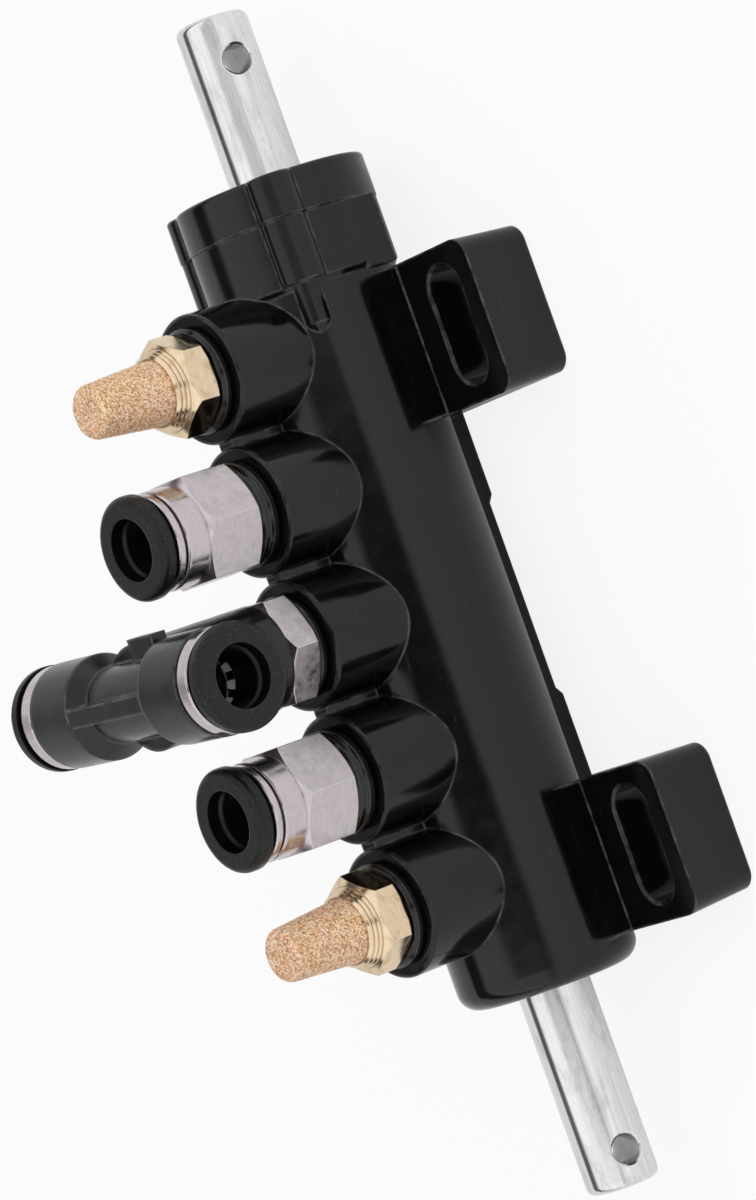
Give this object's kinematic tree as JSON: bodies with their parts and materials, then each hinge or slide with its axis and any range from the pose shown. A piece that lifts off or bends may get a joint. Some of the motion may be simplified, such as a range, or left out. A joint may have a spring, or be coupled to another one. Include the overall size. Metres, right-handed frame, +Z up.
{
  "type": "foot pedal valve",
  "caption": "Moulded spool valve for foot pedals: a steel rod slides through the body, with slotted lugs, push-in fittings, a swivel tee and silencers.",
  "frame": {"origin": "middle of the two lug slots, on the mounting plane", "axes": "+X along the rod towards the cap, +Z up through the ports, away from the mounting plane; the slotted lugs are on the -Y side"},
  "size_m": [0.178, 0.0526, 0.076],
  "materials": {
    "body_plastic": "moulded, satin gloss",
    "rod_steel": "ground and polished along its length",
    "screw_steel": "zinc plated",
    "spacer_plastic": "moulded",
    "seal_rubber": "smooth",
    "washer_plastic": "moulded",
    "brass": "turned",
    "sintered_bronze": "sintered grains",
    "plated_brass": "nickel plated, satin",
    "claw_steel": "spring steel, bright",
    "tee_plastic": "moulded",
    "ring_plastic": "moulded"
  },
  "bodies": {
    "housing": {"valve_body": "body_plastic", "end_cap": "body_plastic", "cap_screws": "screw_steel", "seal_spacer_1": "spacer_plastic", "seal_spacer_2": "spacer_plastic", "seal_spacer_3": "spacer_plastic", "seal_spacer_4": "spacer_plastic", "seal_spacer_5": "spacer_plastic", "spool_seal_1": "seal_rubber", "spool_seal_2": "seal_rubber", "spool_seal_3": "seal_rubber", "spool_seal_4": "seal_rubber", "spool_seal_5": "seal_rubber", "spool_seal_6": "seal_rubber", "port_washer_1": "washer_plastic", "port_washer_2": "washer_plastic", "port_washer_3": "washer_plastic", "port_washer_4": "washer_plastic", "port_washer_5": "washer_plastic", "silencer_body_1": "brass", "silencer_body_2": "brass", "silencer_element_1": "sintered_bronze", "silencer_element_2": "sintered_bronze", "fitting_body_2": "plated_brass", "guide_ring_2": "plated_brass", "claw_ring_2": "claw_steel", "tube_seal_2": "seal_rubber", "fitting_body_4": "plated_brass", "guide_ring_4": "plated_brass", "claw_ring_4": "claw_steel", "tube_seal_4": "seal_rubber", "tee_stud": "plated_brass", "tee_stud_seal": "seal_rubber"},
    "rod": {"spool_rod": "rod_steel"},
    "tee": {"tee_body": "tee_plastic", "guide_ring_3_near": "plated_brass", "claw_ring_3_near": "claw_steel", "tube_seal_3_near": "seal_rubber", "guide_ring_3_far": "plated_brass", "claw_ring_3_far": "claw_steel", "tube_seal_3_far": "seal_rubber"},
    "ring_2": {"release_ring_2": "ring_plastic"},
    "ring_4": {"release_ring_4": "ring_plastic"},
    "ring_3_near": {"release_ring_3_near": "ring_plastic"},
    "ring_3_far": {"release_ring_3_far": "ring_plastic"}
  },
  "joints": [
    {"name": "spool_slide", "type": "slide", "parent": "housing", "child": "rod", "axis": [1, 0, 0], "range_m": [-0.008, 0.008]},
    {"name": "tee_swivel", "type": "hinge", "parent": "housing", "child": "tee", "pos_m": [0.00375, 0.0219, 0.0479], "axis": [0, 0, 1], "range_deg": [-46, 54]},
    {"name": "release_ring_2_press", "type": "slide", "parent": "housing", "child": "ring_2", "axis": [0, 0, -1], "range_m": [0, 0.0009], "stiffness_N_per_m": 1000, "springref_m": -0.0005},
    {"name": "release_ring_4_press", "type": "slide", "parent": "housing", "child": "ring_4", "axis": [0, 0, -1], "range_m": [0, 0.0009], "stiffness_N_per_m": 1000, "springref_m": -0.0005},
    {"name": "release_ring_3_near_press", "type": "slide", "parent": "tee", "child": "ring_3_near", "axis": [0.0767, 0.9971, 0], "range_m": [0, 0.0009], "stiffness_N_per_m": 1000, "springref_m": -0.0005},
    {"name": "release_ring_3_far_press", "type": "slide", "parent": "tee", "child": "ring_3_far", "axis": [-0.0767, -0.9971, 0], "range_m": [0, 0.0009], "stiffness_N_per_m": 1000, "springref_m": -0.0005}
  ]
}
